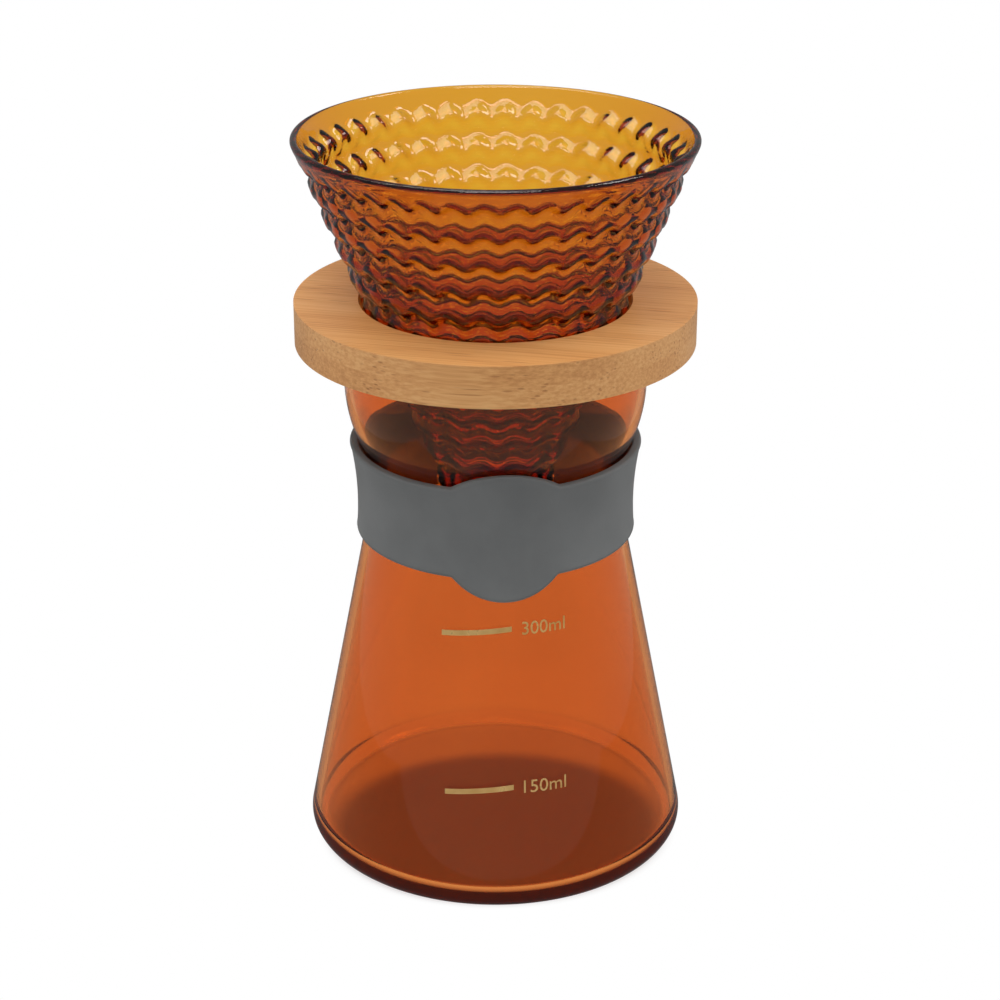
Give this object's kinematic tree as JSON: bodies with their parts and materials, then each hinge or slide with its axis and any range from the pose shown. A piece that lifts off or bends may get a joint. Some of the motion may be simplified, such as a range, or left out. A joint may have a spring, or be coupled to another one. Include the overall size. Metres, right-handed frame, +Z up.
{
  "type": "pour-over coffee maker",
  "caption": "Waisted amber glass carafe with a soft grip sleeve, a two-ply bamboo collar on its mouth and a dimpled glass cone dripper that lifts out of the collar.",
  "frame": {"origin": "on the table under the middle of the carafe's foot", "axes": "+Z up along the common axis of carafe, collar and dripper; -Y is the front with the volume marks"},
  "size_m": [0.0934, 0.0934, 0.1761],
  "materials": {
    "carafe_glass": "clear amber-brown glass, polished",
    "dripper_glass": "clear amber glass with pressed dimples, polished",
    "grey_silicone": "matt moulded silicone",
    "bamboo": "sanded bamboo with a thin satin lacquer",
    "gold_print": "thin metallic gold print"
  },
  "bodies": {
    "carafe_body": {"carafe": "carafe_glass", "graduation_150": "gold_print", "graduation_300": "gold_print", "grip_sleeve": "grey_silicone"},
    "collar_body": {"collar_lower_ply": "bamboo", "collar_upper_ply": "bamboo"},
    "dripper_body": {"dripper": "dripper_glass"}
  },
  "joints": [
    {"name": "collar_lift", "type": "slide", "parent": "carafe_body", "child": "collar_body", "axis": [0, 0, 1], "range_m": [0, 0.1]},
    {"name": "dripper_lift", "type": "slide", "parent": "collar_body", "child": "dripper_body", "axis": [0, 0, 1], "range_m": [0, 0.06]}
  ]
}
